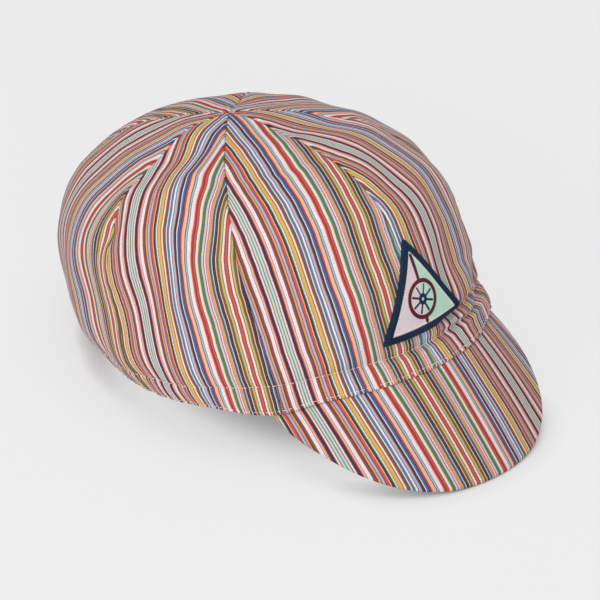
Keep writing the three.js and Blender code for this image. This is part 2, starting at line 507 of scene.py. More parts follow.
@dataclass(frozen=True)
class HemSizes:
    """Where the hem is stitched and how deeply the stitches and tucks pull the cloth in."""

    lower_row: float = 0.0015
    upper_row: float = 0.0108
    pitch: float = 0.0026
    stitch_pull: float = 0.00034
    stitch_width: float = 0.0007
    stitch_beat: float = 0.2
    puff: float = 0.00025
    puff_width: float = 0.0045
    tuck_width: float = 0.0018
    tucks: tuple[tuple[float, float], ...] = (
        (-180, 0.0002), (-75, 0.0004), (-52, 0.002), (-38, 0.0041), (-20, 0.0035),
        (-6, 0.0014), (15, 0.0009), (40, 0.0005), (60, 0.0002), (110, 0.0001), (180, 0.0002),
    )
    pucker: float = 0.00012
    pucker_lengths: tuple[float, float] = (0.0071, 0.0117)
    pucker_drift: tuple[float, float] = (2.1, 0.043)
    cross_share: float = 0.7
    cross_phase: float = 1.3
    pucker_fades: float = 0.004

    def puckers(self, run: Array) -> Array:
        """Works out the small wrinkles between the stitches.

        Args:
            run: lengths along the hem.
        Returns:
            The wrinkles' height at each length, from about -1.7 to 1.7.
        """
        long, short = self.pucker_lengths
        drift, drift_length = self.pucker_drift
        wrinkle = np.sin(TURN * run / long + drift * np.sin(TURN * run / drift_length))
        return wrinkle + self.cross_share * np.sin(TURN * run / short + self.cross_phase)

    def pull(self, angle: Array, distance: Array, run: Array) -> Array:
        """Works out how the stitches, the tucks and the small puckers move the cloth.

        Args:
            angle: angles round the crown.
            distance: lengths of cloth above the rim's edge.
            run: lengths along the hem from the front.
        Returns:
            The rise of each point, negative where the cloth is pulled in.
        """
        beat = 1 - self.stitch_beat + self.stitch_beat * np.cos(TURN * run / self.pitch)
        rise = np.zeros_like(distance)
        for row in (self.lower_row, self.upper_row):
            rise -= self.stitch_pull * beat * bell(distance - row, self.stitch_width)
        places, depths = zip(*self.tucks)
        tuck = np.interp(signed_degrees(angle), places, depths)
        rise -= tuck * bell(distance - self.upper_row, self.tuck_width)
        middle = (self.lower_row + self.upper_row) / 2
        above = bell(np.maximum(distance - self.upper_row, 0), self.pucker_fades)
        puckers = self.pucker * self.puckers(run) * above
        return rise + self.puff * bell(distance - middle, self.puff_width) + puckers


@dataclass(frozen=True)
class SeamSizes:
    """How the cloth rolls in at the seams, how it puckers beside them and dips at the apex."""

    radius: float = 0.0012
    width: float = 0.0013
    hem_share: float = 0.45
    hem_ends: tuple[float, float] = (0.008, 0.014)
    apex_share: float = 0.35
    apex_reach: float = 0.008
    pucker: float = 0.00012
    pucker_length: float = 0.0083
    pucker_drift: tuple[float, float] = (1.7, 0.051)
    pucker_reach: float = 0.0045
    dip: float = 0.0009
    dip_radius: float = 0.0024

    def rise(self, distance: Array, gap: Array, to_apex: Array) -> Array:
        """Works out how the seams move the outer skin.

        Args:
            distance: lengths of cloth above the rim's edge.
            gap: distances to the nearer seam.
            to_apex: distances to the apex, seen from above.
        Returns:
            The rise of each point, negative where the cloth is pulled in.
        """
        crowding = np.minimum(to_apex / self.apex_reach, 1)
        low, high = self.hem_ends
        past_hem = np.clip((distance - low) / (high - low), 0, 1)
        depth = self.radius * (self.hem_share + (1 - self.hem_share) * past_hem)
        depth = depth * (self.apex_share + (1 - self.apex_share) * crowding)
        roll = 1 - np.sqrt(1 - np.clip(1 - gap / self.width, 0, 1) ** 2)
        drift, drift_length = self.pucker_drift
        wave = TURN * distance / self.pucker_length
        pucker = np.sin(wave + drift * np.sin(TURN * distance / drift_length))
        beside = self.pucker * crowding * pucker * np.exp(-gap / self.pucker_reach)
        return beside - depth * roll


@dataclass(frozen=True)
class CrownCloth:
    """The crown's cloth on its shape: its folds, its hem and how it comes to rest."""

    shape: CrownShape
    resting: Resting
    hem: HemSizes = HemSizes()
    seam: SeamSizes = SeamSizes()
    wall: float = 0.0016
    sag_reach: float = 0.12
    fold_points: int = 40
    fold_reach: float = 3.0
    fold_tip: float = 0.04
    fold_taper: float = 0.8
    ripple: float = 0.00036
    ripple_lengths: tuple[float, float] = (0.022, 0.055)
    ripple_scale: float = 0.04
    calm_ends: tuple[float, float] = (0.12, 0.15)
    waves: int = 7
    seed: int = 11

    def relief(self, angle: Array, share: Array) -> Array:
        """Works out how far the folds and soft ripples lift the cloth off its plain shape.

        Args:
            angle: angles round the crown.
            share: shares up the crown.
        Returns:
            The rise of each point.
        """
        points = self.shape.point(angle, share)
        flat = points.reshape(-1, 3)
        rise = np.zeros(len(flat))
        for fold in FOLDS:
            rise += self._fold(fold, flat)
        chance = np.random.RandomState(self.seed)
        climbed = np.clip(share, 0, 1).ravel()
        rim, apex = self.calm_ends
        calm = np.minimum(climbed / rim, 1) * np.minimum((1 - climbed) / apex, 1)
        for _ in range(self.waves):
            direction = unit(chance.normal(size=3))
            wavelength = chance.uniform(*self.ripple_lengths)
            phase = chance.uniform(0, TURN)
            wave = np.sin(flat @ direction / wavelength * TURN + phase)
            rise += self.ripple * calm * wave * wavelength / self.ripple_scale
        return rise.reshape(points.shape[:-1])

    def _fold(self, fold: Fold, points: Array) -> Array:
        """Works out one fold.

        Args:
            fold: the fold.
            points: the points that it may lift.
        Returns:
            Its rise at each point.
        """
        part = np.linspace(0, 1, self.fold_points)
        turn = fold.end[0] - fold.start[0]
        turn -= 360 * round(turn / 360)
        angles = np.radians(fold.start[0] + turn * part)
        line = self.shape.point(angles, fold.start[1] + (fold.end[1] - fold.start[1]) * part)
        near = np.linalg.norm(points - line.mean(0), axis=1)
        span = np.linalg.norm(line - line.mean(0), axis=1).max() + self.fold_reach * fold.width
        rise = np.zeros(len(points))
        close = np.flatnonzero(near < span)
        if len(close) == 0:
            return rise
        gaps = np.linalg.norm(points[close, None] - line[None], axis=2)
        along = self.fold_tip + (1 - 2 * self.fold_tip) * part
        taper = np.sin(math.pi * along) ** self.fold_taper
        rise[close] = fold.rise * (taper * bell(gaps, fold.width)).max(1)
        return rise

    def skins(self, angle: Array, share: Array, distance: Array, gap: Array,
              run: Array) -> tuple[Array, Array]:
        """Works out the outer and inner skin of a panel at rest.

        Args:
            angle: angles round the crown.
            share: shares up the crown.
            distance: lengths of cloth above the rim's edge.
            gap: distances to the nearer seam.
            run: lengths along the hem from the front.
        Returns:
            The points of the outer and of the inner skin.
        """
        place = self.hung(angle, share)
        normal = self.shape.normal(angle, share)
        base = self.relief(angle, share) + self.hem.pull(angle, distance, run)
        apex = self.shape.point(np.zeros(1), np.ones(1))[0]
        to_apex = np.linalg.norm((place - apex) * [1, 1, 0], axis=-1)
        base -= self.seam.dip * bell(to_apex, self.seam.dip_radius)
        half = self.wall / 2
        edge = half - np.sqrt(half**2 - (half - np.minimum(distance, half)) ** 2)
        rise = base - edge + self.seam.rise(distance, gap, to_apex)
        outer = place + normal * rise[..., None]
        inner = place + normal * (base - self.wall + edge)[..., None]
        return self.resting.place(outer), self.resting.place(inner)

    def laid_on(self, angle: Array, share: Array, lift: Array) -> Array:
        """Finds places at rest that lie on the cloth and follow its folds.

        Args:
            angle: angles round the crown.
            share: shares up the crown.
            lift: heights above the cloth.
        Returns:
            The points.
        """
        rise = self.relief(angle, share) + lift
        points = self.hung(angle, share)
        return self.resting.place(points + self.shape.normal(angle, share) * rise[..., None])

    def hung(self, angle: Array, share: Array) -> Array:
        """Returns the plain shape's points with the rim's sag."""
        sag = rim_sag(angle) * bell(share, self.sag_reach)
        return self.shape.point(angle, share) - sag[..., None] * UP


Value = Union[float, Sequence[float], "Wire"]


class Wire:
    """A node's output that takes part in Python arithmetic, each step of it a Math node."""

    def __init__(self, shader: "Shader", socket: bpy.types.NodeSocket) -> None:
        """Keeps the shader that the socket is in."""
        self.shader = shader
        self.socket = socket

    def __add__(self, other: Value) -> "Wire":
        """Adds."""
        return self.shader.maths("ADD", self, other)

    def __sub__(self, other: Value) -> "Wire":
        """Subtracts."""
        return self.shader.maths("SUBTRACT", self, other)

    def __rsub__(self, other: Value) -> "Wire":
        """Subtracts this from the other."""
        return self.shader.maths("SUBTRACT", other, self)

    def __mul__(self, other: Value) -> "Wire":
        """Multiplies."""
        return self.shader.maths("MULTIPLY", self, other)

    def __truediv__(self, other: Value) -> "Wire":
        """Divides."""
        return self.shader.maths("DIVIDE", self, other)

    def __lt__(self, other: Value) -> "Wire":
        """Gives 1 where this is less, and 0 elsewhere."""
        return self.shader.maths("LESS_THAN", self, other)

    def __gt__(self, other: Value) -> "Wire":
        """Gives 1 where this is greater, and 0 elsewhere."""
        return self.shader.maths("GREATER_THAN", self, other)

    def __abs__(self) -> "Wire":
        """Gives the size without its sign."""
        return self.shader.maths("ABSOLUTE", self)

    __radd__ = __add__
    __rmul__ = __mul__


class Shader:
    """A material that is being wired up."""

    def __init__(self, name: str, **even: float) -> None:
        """Starts a material.

        Args:
            name: the material's name.
            even: what is the same all over, by the shader socket's name with _ for a space.
        """
        self.material = bpy.data.materials.new(name)
        self.material.use_nodes = True
        self.tree = self.material.node_tree
        self.surface = self.tree.nodes["Principled BSDF"]
        for socket, value in even.items():
            self.surface.inputs[socket.replace("_", " ")].default_value = value

    def node(self, kind: str, settings: dict, sockets: dict, output: Union[int, str] = 0) -> Wire:
        """Adds a node.

        Args:
            kind: the node's type, without the ShaderNode before it.
            settings: the node's own settings, and a ramp's stops under "stops".
            sockets: the values or links of its inputs, by name or number.
            output: the output to give back, by name or number.
        Returns:
            That output.
        """
        node = self.tree.nodes.new("ShaderNode" + kind)
        settings = dict(settings)
        stops = settings.pop("stops", None)
        if stops:
            self._set_stops(node.color_ramp, stops)
        for name, value in settings.items():
            setattr(node, name, value)
        for key, value in sockets.items():
            self.plug(node.inputs[key], value)
        return Wire(self, node.outputs[output])

    def _set_stops(self, ramp: bpy.types.ColorRamp, stops: Sequence[tuple]) -> None:
        """Fills a ramp with stops that hold their colour up to the next.

        Args:
            ramp: the ramp.
            stops: the place from 0 to 1 and the colour of each.
        """
        ramp.interpolation = "CONSTANT"
        while len(ramp.elements) > 1:
            ramp.elements.remove(ramp.elements[-1])
        ramp.elements[0].position = stops[0][0]
        ramp.elements[0].color = stops[0][1]
        for place, colour in stops[1:]:
            ramp.elements.new(place).color = colour

    def plug(self, socket: bpy.types.NodeSocket, value: Value) -> None:
        """Links a wire to an input, or sets its value.

        Args:
            socket: the input.
            value: a wire, a number or a colour.
        """
        if isinstance(value, Wire):
            self.tree.links.new(value.socket, socket)
        else:
            socket.default_value = value

    def maths(self, operation: str, *values: Value) -> Wire:
        """Adds a Math node."""
        return self.node("Math", {"operation": operation}, dict(enumerate(values)))

    def read(self, coordinate: Coordinate) -> Wire:
        """Reads one of a piece's own coordinates."""
        return self.node("Attribute", {"attribute_name": coordinate.value}, {}, "Fac")

    def noise(self, across: Wire, along: Wire, scales: tuple[float, float],
              detail: float = 2.0, shift: float = 0.0) -> Wire:
        """Adds a noise that runs over the cloth.

        Args:
            across: the coordinate across the cloth.
            along: the coordinate along it.
            scales: how fast it changes across and along.
            detail: how fine it is.
            shift: where on the noise it starts.
        Returns:
            The noise, from 0 to 1.
        """
        x = across * scales[0]
        if shift:
            x = x + shift
        vector = self.node("CombineXYZ", {}, {0: x, 1: along * scales[1]})
        return self.node("TexNoise", {}, {"Vector": vector, "Scale": 1.0, "Detail": detail})

    def blend(self, share: Value, low: Value, high: Value) -> Wire:
        """Mixes two colours."""
        return self.node("Mix", {"data_type": "RGBA"}, {0: share, 6: low, 7: high}, 2)

    def shade(self, colour: Value, strength: Value) -> Wire:
        """Makes a colour lighter or darker."""
        light = colour if isinstance(colour, Wire) else colour[:3]
        return self.node("VectorMath", {"operation": "SCALE"}, {0: light, "Scale": strength})

    def finish(self, colour: Wire, height: Wire, strength: float, depth: float) -> None:
        """Plugs the surface in.

        Args:
            colour: its colour.
            height: its relief.
            strength: of the relief.
            depth: of the relief, in metres.
        """
        self.plug(self.surface.inputs["Base Color"], colour)
        sockets = {"Strength": strength, "Distance": depth, "Height": height}
        self.plug(self.surface.inputs["Normal"], self.node("Bump", {}, sockets))


@dataclass(frozen=True)
class Ladder:
    """One step of the stripe: a broad band, a hairline, a pale band, and so on."""

    band: Tint
    first_line: Tint
    pale: Tint
    second_line: Tint
    partner: Tint
    third_line: Tint


@dataclass(frozen=True)
class StripedCotton:
    """Fine twill with a regular mirrored stripe, and a broken pinstripe on its pale bands.

    Lengths are in millimetres of cloth. The three rows of widths have the same sum and the same
    middle of their pale band.
    """

    name: str
    widths: tuple[tuple[float, ...], ...] = (
        (1.08, 0.36, 0.9, 0.36, 0.8, 0.4),
        (0.74, 0.46, 1.38, 0.26, 0.62, 0.44),
        (1.36, 0.28, 0.5, 0.42, 0.94, 0.4),
    )
    ladders: tuple[Ladder, ...] = (
        Ladder(Tint.FLAME, Tint.CHARCOAL, Tint.OFF_WHITE, Tint.BROWN, Tint.MUSTARD, Tint.GREEN),
        Ladder(Tint.BROWN, Tint.PEACH, Tint.CHARCOAL, Tint.OFF_WHITE, Tint.TEAL, Tint.PLUM),
        Ladder(Tint.APRICOT, Tint.TEAL, Tint.OFF_WHITE, Tint.CRIMSON, Tint.LILAC, Tint.BROWN),
        Ladder(Tint.GREEN, Tint.MUSTARD, Tint.OFF_WHITE, Tint.BROWN, Tint.FLAME, Tint.CHARCOAL),
        Ladder(Tint.CRIMSON, Tint.PEACH, Tint.OFF_WHITE, Tint.CHARCOAL, Tint.SKY, Tint.BROWN),
        Ladder(Tint.PEACH, Tint.BROWN, Tint.CRIMSON, Tint.PLUM, Tint.BLUE, Tint.OFF_WHITE),
        Ladder(Tint.CHARCOAL, Tint.FLAME, Tint.SKY, Tint.BROWN, Tint.OFF_WHITE, Tint.MAGENTA),
        Ladder(Tint.TEAL, Tint.OFF_WHITE, Tint.BROWN, Tint.APRICOT, Tint.OFF_WHITE, Tint.CRIMSON),
        Ladder(Tint.MUSTARD, Tint.BROWN, Tint.OFF_WHITE, Tint.GREEN, Tint.CHARCOAL, Tint.PEACH),
        Ladder(Tint.FLAME, Tint.PLUM, Tint.SKY, Tint.MAGENTA, Tint.APRICOT, Tint.CHARCOAL),
        Ladder(Tint.BROWN, Tint.CRIMSON, Tint.OFF_WHITE, Tint.BLUE, Tint.PEACH, Tint.FLAME),
        Ladder(Tint.PLUM, Tint.MUSTARD, Tint.OFF_WHITE, Tint.MAGENTA, Tint.MINT, Tint.FOREST),
    )
    parts: int = 3
    wander: float = 0.75
    wander_grain: tuple[float, float] = (0.018, 0.11)
    wander_shift: float = 7.0
    drift: float = 0.6
    drift_grain: tuple[float, float] = (0.03, 0.05)
    edge_waver: float = 0.07
    twill_pitch: float = 0.8
    twill_slope: float = 0.9
    weft_pitch: float = 0.496
    weft_show: float = 0.08
    slub_grain: tuple[float, float] = (2.6, 0.16)
    slub_detail: float = 3.0
    cloud_grain: tuple[float, float] = (0.035, 0.035)
    # Below 1, paints shade over the whole cloth, as on the peak's darker copy.
    painted_shade_tone: float = 1.0
    base_light: float = 0.82
    slub_light: float = 0.24
    cloud_light: float = 0.1
    # Painted shade in the twill's grooves.
    twill_groove_shade: float = 0.06
    twill_relief: float = 0.4
    weft_relief: float = 0.15
    slub_relief: float = 0.8
    bump: tuple[float, float] = (0.45, 0.00012)
    dash: float = 1.7
    dash_share: float = 0.5
    pin: float = 0.13
    pin_show: float = 0.32
    back_fade: float = 0.35

    @property
    def rung(self) -> float:
        """Width of one ladder of the stripe."""
        return sum(self.widths[0])

    def _stops(self, first: int, count: int) -> list[tuple]:
        """Lists a ramp's stops for some of the ladders.

        Args:
            first: the first ladder.
            count: how many ladders.
        Returns:
            The place from 0 to 1 and the colour of each stop.
        """
        total = self.rung * count
        stops = []
        place = 0.0
        for number in range(first, first + count):
            widths = self.widths[number % len(self.widths)]
            for tint, width in zip(vars(self.ladders[number]).values(), widths):
                stops.append((place / total, tint.linear))
                place += width
        return stops

    def _stripes(self, shader: Shader, place: Wire) -> tuple[Wire, Wire]:
        """Wires the stripe up, which runs to its end and back again.

        Args:
            shader: the material.
            place: the distance across the cloth.
        Returns:
            The stripe's colour and the distance along the stripe.
        """
        first, last = self.widths[0][0], self.widths[-1][-1]
        half = self.rung * len(self.ladders) - (first + last) / 2
        folded = shader.maths("PINGPONG", place, half) + first / 2
        count = len(self.ladders) // self.parts
        colour = None
        for part in range(self.parts):
            share = folded / (self.rung * count) - float(part)
            stops = self._stops(part * count, count)
            stripe = shader.node("ValToRGB", {"stops": stops}, {0: share})
            begun = folded > part * count * self.rung
            colour = stripe if colour is None else shader.blend(begun, colour, stripe)
        return colour, folded

    def _pinstripe(self, shader: Shader, colour: Wire, folded: Wire, along: Wire) -> Wire:
        """Adds the broken pinstripe in the middle of every pale band.

        Args:
            shader: the material.
            colour: the stripe's colour.
            folded: the distance along the stripe.
            along: the coordinate along the cloth.
        Returns:
            The colour with the pinstripe.
        """
        middle = sum(self.widths[0][:2]) + self.widths[0][2] / 2
        within = shader.maths("FLOORED_MODULO", folded, self.rung)
        on_line = abs(within - middle) < self.pin
        on_dash = shader.maths("FRACT", along / self.dash) < self.dash_share
        return shader.blend(on_line * on_dash * self.pin_show, colour, Tint.CRIMSON.linear)

    def make(self) -> bpy.types.Material:
        """Wires the cotton up.

        Returns:
            The material.
        """
        shader = Shader(self.name, Roughness=0.88, Sheen_Weight=0.03, Sheen_Roughness=0.45,
                        Specular_IOR_Level=0.2)
        across = shader.read(Coordinate.ACROSS)
        along = shader.read(Coordinate.ALONG)
        lean = across * self.twill_slope + along
        diagonal = shader.maths("SINE", lean * (TURN / self.twill_pitch))
        weft = shader.maths("SINE", across * (TURN / self.weft_pitch))
        drift = shader.noise(across, along, self.drift_grain) - 0.5
        bend = shader.noise(across, along, self.wander_grain, shift=self.wander_shift) - 0.5
        place = across + diagonal * self.edge_waver + drift * self.drift + bend * self.wander
        colour, folded = self._stripes(shader, place)
        colour = self._pinstripe(shader, colour, folded, along)
        crossing = (diagonal * 0.5 + 0.5) * self.weft_show
        colour = shader.blend(crossing, colour, Tint.GREY.linear)
        slub = shader.noise(across, along, self.slub_grain, self.slub_detail)
        cloud = shader.noise(across, along, self.cloud_grain) * self.cloud_light
        # Painted shade: darker along the twill's diagonal grooves, where the relief is lowest; slub
        # and cloud are the yarn's own tone.
        light = self.base_light + slub * self.slub_light + cloud - diagonal * self.twill_groove_shade
        # Painted shade: the whole cloth darkened by its painted shade share.
        colour = shader.shade(colour, light * self.painted_shade_tone)
        wrong = shader.read(Coordinate.WRONG_SIDE)
        colour = shader.blend(wrong * self.back_fade, colour, Tint.OFF_WHITE.linear)
        threads = weft * self.weft_relief + slub * self.slub_relief
        shader.finish(colour, threads - diagonal * self.twill_relief, *self.bump)
        return shader.material


@dataclass(frozen=True)
class BadgeSatin:
    """Woven badge cloth in two fields of colour, with fine ribs."""

    name: str = "badge_satin"
    rib: float = 0.42
    pick: float = 0.336
    pick_slope: float = 0.5
    mottle_grain: tuple[float, float] = (1.4, 1.4)
    base_light: float = 0.9
    rib_light: float = 0.03
    mottle_light: float = 0.12
    rib_relief: float = 0.5
    bump: tuple[float, float] = (0.5, 0.0001)

    def make(self) -> bpy.types.Material:
        """Wires the satin up.

        Returns:
            The material.
        """
        shader = Shader(self.name, Roughness=0.62, Sheen_Weight=0.1, Specular_IOR_Level=0.35)
        across = shader.read(Coordinate.ACROSS)
        along = shader.read(Coordinate.ALONG)
        rib = shader.maths("SINE", across * (TURN / self.rib))
        pick = shader.maths("SINE", (along + across * self.pick_slope) * (TURN / self.pick))
        mottle = shader.noise(across, along, self.mottle_grain)
        colour = shader.blend(across > 0.0, Tint.PALE_PINK.linear, Tint.PALE_MINT.linear)
        light = self.base_light + (rib + pick) * self.rib_light + mottle * self.mottle_light
        colour = shader.shade(colour, light)
        shader.finish(colour, (rib + pick) * self.rib_relief + mottle, *self.bump)
        return shader.material


@dataclass(frozen=True)
class SewingThread:
    """Twisted thread of one colour."""

    name: str
    tint: Tint
    lay: float = 0.2
    lay_slope: float = 0.7
    stitch: float = 1.1
    stitch_slope: float = 0.5
    mottle_grain: tuple[float, float] = (2.0, 2.0)
    base_light: float = 0.85
    strand_light: float = 0.06
    mottle_light: float = 0.3
    beat: float = 0.12
    bump: tuple[float, float] = (0.5, 0.00008)

    def make(self) -> bpy.types.Material:
        """Wires the thread up.

        Returns:
            The material.
        """
        shader = Shader(self.name, Roughness=0.6, Sheen_Weight=0.04, Specular_IOR_Level=0.25)
        across = shader.read(Coordinate.ACROSS)
        along = shader.read(Coordinate.ALONG)
        strand = shader.maths("SINE", (along + across * self.lay_slope) * (TURN / self.lay))
        stitch = shader.maths("SINE", (along + across * self.stitch_slope) * (TURN / self.stitch))
        mottle = shader.noise(across, along, self.mottle_grain)
        light = self.base_light + strand * self.strand_light + mottle * self.mottle_light
        colour = shader.shade(self.tint.linear, light + stitch * self.beat)
        shader.finish(colour, strand + mottle, *self.bump)
        return shader.material


def make_mesh(name: str, points: Array, faces: Array, numbers: dict[Coordinate, Array],
              material: bpy.types.Material) -> bpy.types.Object:
    """Makes a smooth mesh object.

    Args:
        name: the piece's name.
        points: its points, one a row.
        faces: its faces, each a row of point numbers.
        numbers: what the finish reads, a number for each point.
        material: its finish.
    Returns:
        The object, in the scene.
    """
    mesh = bpy.data.meshes.new(name)
    mesh.from_pydata(points.tolist(), [], faces.tolist())
    for coordinate, values in numbers.items():
        attribute = mesh.attributes.new(coordinate.value, "FLOAT", "POINT")
        attribute.data.foreach_set("value", np.asarray(values, np.float32).ravel())
    mesh.polygons.foreach_set("use_smooth", np.ones(len(faces), bool))
    mesh.materials.append(material)
    mesh.update()
    made = bpy.data.objects.new(name, mesh)
    bpy.context.scene.collection.objects.link(made)
    return made


def sheet_faces(rows: int, columns: int) -> Array:
    """Lists the quads of a closed sheet of two matching grids, the outer grid's points first.

    Args:
        rows: how many rows a grid has.
        columns: how many columns, which run to the left, seen from outside.
    Returns:
        Its faces.
    """
    number = np.arange(rows * columns).reshape(rows, columns)
    quads = [number[:-1, :-1], number[1:, :-1], number[1:, 1:], number[:-1, 1:]]
    outer = np.stack([quad.ravel() for quad in quads], -1)
    inner = rows * columns
    ring = np.concatenate([
        number[0, :0:-1], number[:-1, 0], number[-1, :-1], number[:0:-1, -1],
    ])
    after = np.roll(ring, -1)
    walls = np.stack([after, ring, ring + inner, after + inner], -1)
    return np.concatenate([outer, outer[:, ::-1] + inner, walls])


def tube_faces(rings: int, sides: int, closed: bool) -> Array:
    """Lists the quads of a tube, its rings one after another, joined or with a cap at each end.

    Args:
        rings: how many rings it has.
        sides: how many points a ring has, an even number.
        closed: whether its last ring joins its first.
    Returns:
        Its faces.
    """
    number = np.arange(rings * sides).reshape(rings, sides)
    here = number if closed else number[:-1]
    there = np.roll(number, -1, 0) if closed else number[1:]
    quads = [here, np.roll(here, -1, 1), np.roll(there, -1, 1), there]
    faces = np.stack([quad.ravel() for quad in quads], -1)
    if closed:
        return faces
    cap = np.array([[0, k, k + 1, k + 2] for k in range(1, sides - 2, 2)])
    return np.concatenate([faces, cap[:, ::-1], cap + (rings - 1) * sides])


def make_sheet(name: str, skins: Sequence[Array], across: Array, along: Array, wrong: float,
               finish: bpy.types.Material) -> bpy.types.Object:
    """Makes a closed sheet of cloth.

    Args:
        name: the piece's name.
        skins: the grids of points of its outer and its inner skin.
        across: the grid's places across the cloth.
        along: its places along the cloth.
        wrong: 1 where the inner skin shows the cloth's wrong side.
        finish: its material.
    Returns:
        The object, in the scene.
    """
    numbers = {
        Coordinate.ACROSS: np.tile((across / MM).ravel(), 2),
        Coordinate.ALONG: np.tile((along / MM).ravel(), 2),
        Coordinate.WRONG_SIDE: np.repeat([0.0, wrong], across.size),
    }
    points = np.concatenate([skin.reshape(-1, 3) for skin in skins])
    return make_mesh(name, points, sheet_faces(*across.shape), numbers, finish)


def make_joined(name: str, parts: Sequence[Line], finish: bpy.types.Material) -> bpy.types.Object:
    """Joins several stitched lines in one piece.

    Args:
        name: the piece's name.
        parts: each line's points, faces, and numbers across and along.
        finish: its material.
    Returns:
        The object, in the scene.
    """
    points, faces, across, along = zip(*parts)
    starts = np.cumsum([0] + [len(line) for line in points])
    numbers = {
        Coordinate.ACROSS: np.concatenate(across),
        Coordinate.ALONG: np.concatenate(along),
    }
    faces = [quads + start for quads, start in zip(faces, starts)]
    return make_mesh(name, np.concatenate(points), np.concatenate(faces), numbers, finish)


def hand_over(piece: bpy.types.Object, node: str = "") -> bpy.types.Object:
    """Lets a piece ride on the cap.

    Args:
        piece: the piece.
        node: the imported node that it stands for, if any.
    Returns:
        The piece.
    """
    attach(piece, "root")
    if node:
        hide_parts(node)
    log.info("%s: %d faces", piece.name, len(piece.data.polygons))
    return piece


@dataclass
class CrownPanel:
    """One of the crown's six panels: cloth cut with its stripes along its middle line."""

    name: str
    start: Seam
    end: Seam
    stripe_start: float
    follows_start: bool = False
    columns: int = 84
    crown_rows: int = 130
    samples: int = 61
    edge_steps: tuple[float, ...] = (0.02, 0.14, 0.3, 0.5, 0.78, 1.15, 1.7, 2.5, 3.6)
    row_lean: float = 0.06
    edge_room: float = 6.0
    seam_allowance: float = 0.006
    hem_turn: float = 0.012
    eye: float = 0.0004
    follow_shares: tuple[float, float, float] = (0.42, 0.55, 0.68)

    def _hem_rows(self) -> Array:
        """Spaces the rows of the hem, close together at the edge and at the upper stitches.

        Returns:
            Their lengths above the rim's edge.
        """
        edge = np.array([0.02, 0.1, 0.24, 0.42, 0.65, 0.9, 1.15, 1.4, 1.65, 1.95, 2.35])
        band = np.arange(2.9, 9.3, 0.62)
        stitch = np.arange(9.5, 12.8, 0.32)
        return np.concatenate([edge, band, stitch]) * MM

    def _lie(self, part: Array, share: Array) -> Array:
        """Returns the angle of the cloth a part of the way over from the panel's first seam."""
        return (1 - part) * self.start.at(share) + part * self.end.at(share)

    def _climbs(self, shape: CrownShape, parts: Array) -> tuple[Array, Array]:
        """Spaces all rows, from the hem to the eye that is left open at the apex.

        Args:
            shape: the crown's shape.
            parts: parts of the way over from the panel's first seam.
        Returns:
            The share up the crown and the length above the rim's edge, by row and part.
        """
        hem = self._hem_rows()
        rise = np.linspace(0, 1, self.crown_rows + 1)[1:]
        rise = rise + self.row_lean * np.sin(math.pi * rise) * rise
        share = np.linspace(0, 1, shape.finely)
        half = len(share) // 2
        shares, lengths = [], []
        for part in parts:
            line = shape.point(self._lie(part, share), share)
            length = lengths_along(line)
            radius = np.linalg.norm((line - line[-1]) * [1, 1, 0], axis=1)
            top = np.interp(-self.eye, -radius[half:], length[half:])
            climbed = np.concatenate([hem, hem[-1] + rise * (top - hem[-1])])
            shares.append(np.interp(climbed, length, share))
            lengths.append(climbed)
        return np.array(shares).T, np.array(lengths).T

    def _spread(self, run: Array) -> Array:
        """Spaces the points of a row, close together beside the seams.

        Args:
            run: lengths across the row from its middle, first and last at the seams.
        Returns:
            The points' lengths across.
        """
        steps = np.array(self.edge_steps) * MM
        steps *= min(1.0, (run[-1] - run[0]) / (self.edge_room * steps[-1]))
        low, high = run[0] + steps, run[-1] - steps[::-1]
        middle = np.linspace(low[-1], high[0], self.columns)[1:-1]
        return np.concatenate([low, middle, high])

    def _lattice(self, cloth: CrownCloth) -> dict[str, Array]:
        """Works out the panel's net of points.

        The cloth is gathered to the rim: a row below the widest has as much cloth as that one.
        Low down, the stripes may run along the panel's first seam and not along its middle.

        Args:
            cloth: the crown's cloth.
        Returns:
            Angle, share, distance from the rim's edge, place across, gap to the seam, and place
            across the cloth as it was cut.
        """
        shape = cloth.shape
        parts = np.linspace(0, 1, self.samples)
        rows = []
        for shares, lengths in zip(*self._climbs(shape, parts)):
            run = lengths_along(shape.point(self._lie(parts, shares), shares))
            run -= np.interp(0.5, parts, run)
            across = self._spread(run)
            part = np.interp(across, run, parts)
            share = np.interp(part, parts, shares)
            distance = np.interp(part, parts, lengths)
            gap = np.minimum(across - run[0], run[-1] - across)
            rows.append((self._lie(part, share), share, distance, across, gap))
        names = ("angle", "share", "distance", "across", "gap")
        net = dict(zip(names, np.array(rows).swapaxes(0, 1)))
        widths = net["across"][:, -1] - net["across"][:, 0]
        widest = np.maximum.accumulate(widths[::-1])[::-1]
        net["cut"] = net["across"] * (widest / widths)[:, None]
        if self.follows_start:
            low, middle, high = self.follow_shares
            climbed, edge = net["share"][:, 0], net["cut"][:, 0]
            slide = (np.interp(middle, climbed, edge) - edge) * (1 - eased(climbed, low, high))
            net["cut"] += slide[:, None]
        return net

    def build(self, cloth: CrownCloth, finish: bpy.types.Material) -> bpy.types.Object:
        """Builds and dresses the panel.

        Args:
            cloth: the crown's cloth.
            finish: its material.
        Returns:
            The panel.
        """
        net = self._lattice(cloth)
        run = net["angle"] * cloth.shape.rim_length / 2
        skins = cloth.skins(net["angle"], net["share"], net["distance"], net["gap"], run)
        across = net["cut"] + self.stripe_start * MM
        panel = make_sheet(self.name, skins, across, net["distance"], 1.0, finish)
        hand_over(panel, self.name)
        self._declare(net)
        return panel

    def _declare(self, net: dict[str, Array]) -> None:
        """Works out the size and area of cloth that the panel is cut from, with its turnings, and
        keeps none of it.

        Args:
            net: its net of points.
        """
        widths = net["cut"][:, -1] - net["cut"][:, 0]
        lengths = net["distance"].mean(1)
        cut_width = widths.max() + 2 * self.seam_allowance
        cut_length = lengths[-1] + self.hem_turn + self.seam_allowance
        gore = float(np.sum((widths[1:] + widths[:-1]) / 2 * np.diff(lengths)))
        turnings = 2 * self.seam_allowance * lengths[-1] + self.hem_turn * widths[0]
        gore + turnings


